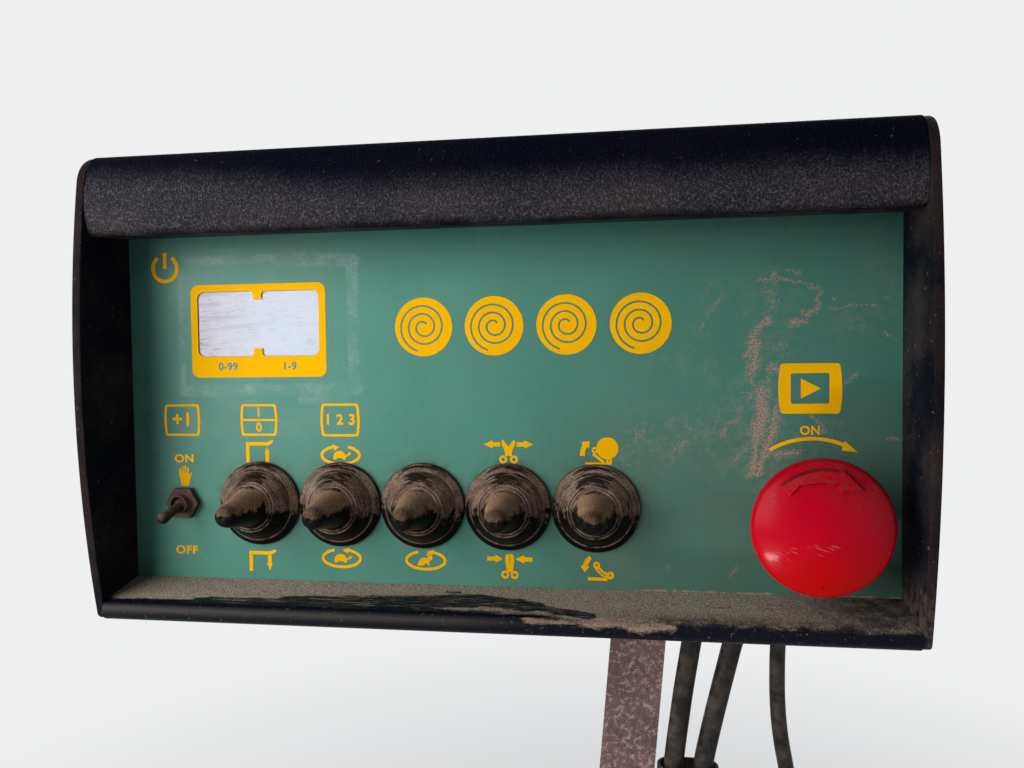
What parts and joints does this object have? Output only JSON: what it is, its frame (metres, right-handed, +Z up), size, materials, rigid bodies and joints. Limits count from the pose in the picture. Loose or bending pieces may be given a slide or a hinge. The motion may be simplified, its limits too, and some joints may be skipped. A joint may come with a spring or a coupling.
{
  "type": "bale wrapper control box",
  "caption": "In-cab control box of a bale wrapper: coated housing, green switch panel with booted levers and a stop button, on a leaning square post.",
  "frame": {"origin": "centre of the foot plate's bolt pattern, on its underside", "axes": "+X to the right along the panel, the panel faces -Y, +Z up"},
  "size_m": [0.258, 0.107, 0.331],
  "materials": {
    "housing_coat": "leather grain coat",
    "panel_green": "satin film",
    "ink_yellow": "printed",
    "window_silver": "scratched",
    "rubber_black": "dusty",
    "toggle_metal": "dusty",
    "collar_black": "matte",
    "stem_plastic": "matte",
    "button_red": "scuffed gloss",
    "zinc_steel": "dull zinc",
    "post_rust": "hammered paint with rust",
    "gland_black": "moulded",
    "lead_black": "smooth",
    "tie_black": "dusty"
  },
  "bodies": {
    "root": {"hood": "housing_coat", "base_tray": "housing_coat", "back_cover": "housing_coat", "cover_screws": "zinc_steel", "cheek_left": "housing_coat", "cheek_right": "housing_coat", "front_panel": "panel_green", "display_window": "window_silver", "boot_1": "rubber_black", "boot_2": "rubber_black", "boot_3": "rubber_black", "boot_4": "rubber_black", "boot_5": "rubber_black", "toggle_body": "toggle_metal", "stop_collar": "collar_black", "mount_bracket": "post_rust", "bracket_screws": "zinc_steel", "pivot_bolt": "zinc_steel", "pivot_nut": "zinc_steel", "post": "post_rust", "foot_plate": "post_rust", "gland_1": "gland_black", "gland_2": "gland_black", "gland_3": "gland_black", "lead_1": "lead_black", "lead_2": "lead_black", "lead_3": "lead_black", "lead_tie": "tie_black", "plug_1": "gland_black", "plug_2": "gland_black", "plug_3": "gland_black"},
    "lever_1": {"lever_1": "rubber_black"},
    "lever_2": {"lever_2": "rubber_black"},
    "lever_3": {"lever_3": "rubber_black"},
    "lever_4": {"lever_4": "rubber_black"},
    "lever_5": {"lever_5": "rubber_black"},
    "toggle_bat": {"toggle_bat": "toggle_metal"},
    "stop_stem": {"stop_stem": "stem_plastic"},
    "stop_head": {"stop_head": "button_red"}
  },
  "joints": [
    {"name": "lever_1_tilt", "type": "hinge", "parent": "root", "child": "lever_1", "pos_m": [-0.1119, -0.052, 0.2158], "axis": [-1, 0, 0], "range_deg": [-12, 12], "stiffness_Nm_per_rad": 0.08},
    {"name": "lever_2_tilt", "type": "hinge", "parent": "root", "child": "lever_2", "pos_m": [-0.0835, -0.052, 0.2158], "axis": [-1, 0, 0], "range_deg": [-12, 12], "stiffness_Nm_per_rad": 0.08},
    {"name": "lever_3_tilt", "type": "hinge", "parent": "root", "child": "lever_3", "pos_m": [-0.0551, -0.052, 0.2158], "axis": [-1, 0, 0], "range_deg": [-12, 12], "stiffness_Nm_per_rad": 0.08},
    {"name": "lever_4_tilt", "type": "hinge", "parent": "root", "child": "lever_4", "pos_m": [-0.0267, -0.052, 0.2158], "axis": [-1, 0, 0], "range_deg": [-12, 12], "stiffness_Nm_per_rad": 0.08},
    {"name": "lever_5_tilt", "type": "hinge", "parent": "root", "child": "lever_5", "pos_m": [0.0017, -0.052, 0.2158], "axis": [-1, 0, 0], "range_deg": [-12, 12], "stiffness_Nm_per_rad": 0.08},
    {"name": "toggle_flip", "type": "hinge", "parent": "root", "child": "toggle_bat", "pos_m": [-0.1396, -0.052, 0.2155], "axis": [-1, 0, 0], "range_deg": [0, 27]},
    {"name": "stop_push", "type": "slide", "parent": "root", "child": "stop_stem", "axis": [0, 1, 0], "range_m": [0, 0.005]},
    {"name": "stop_turn", "type": "hinge", "parent": "stop_stem", "child": "stop_head", "pos_m": [0.0671, -0.063, 0.2148], "axis": [0, 1, 0], "range_deg": [0, 30], "stiffness_Nm_per_rad": 0.1}
  ]
}
